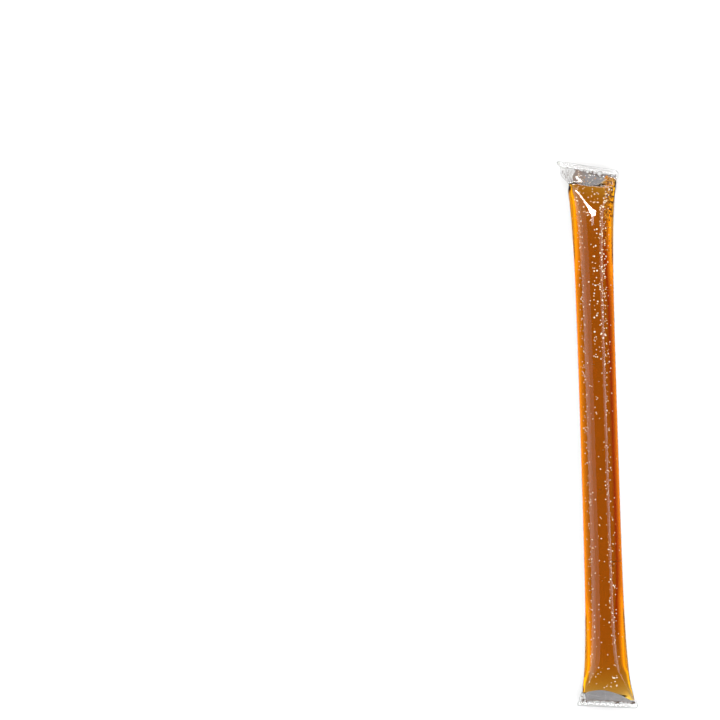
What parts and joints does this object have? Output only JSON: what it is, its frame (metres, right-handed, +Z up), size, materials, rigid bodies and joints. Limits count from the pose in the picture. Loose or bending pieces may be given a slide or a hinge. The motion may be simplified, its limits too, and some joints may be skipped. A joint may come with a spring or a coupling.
{
  "type": "honey straw",
  "caption": "Honey straw: a short clear plastic tube filled with amber honey and welded flat and closed at both ends, lying on its side.",
  "frame": {"origin": "on the surface it rests on, under the middle of its box", "axes": "+Y along the tube towards the end that is up in the picture, +Z up out of the shown side, +X to the right of the shown side"},
  "size_m": [0.01, 0.0866, 0.0059],
  "materials": {
    "honey_straw": "glossy clear film over translucent amber honey with fine air bubbles"
  },
  "bodies": {
    "root": {"honey_straw": "honey_straw"}
  },
  "joints": []
}
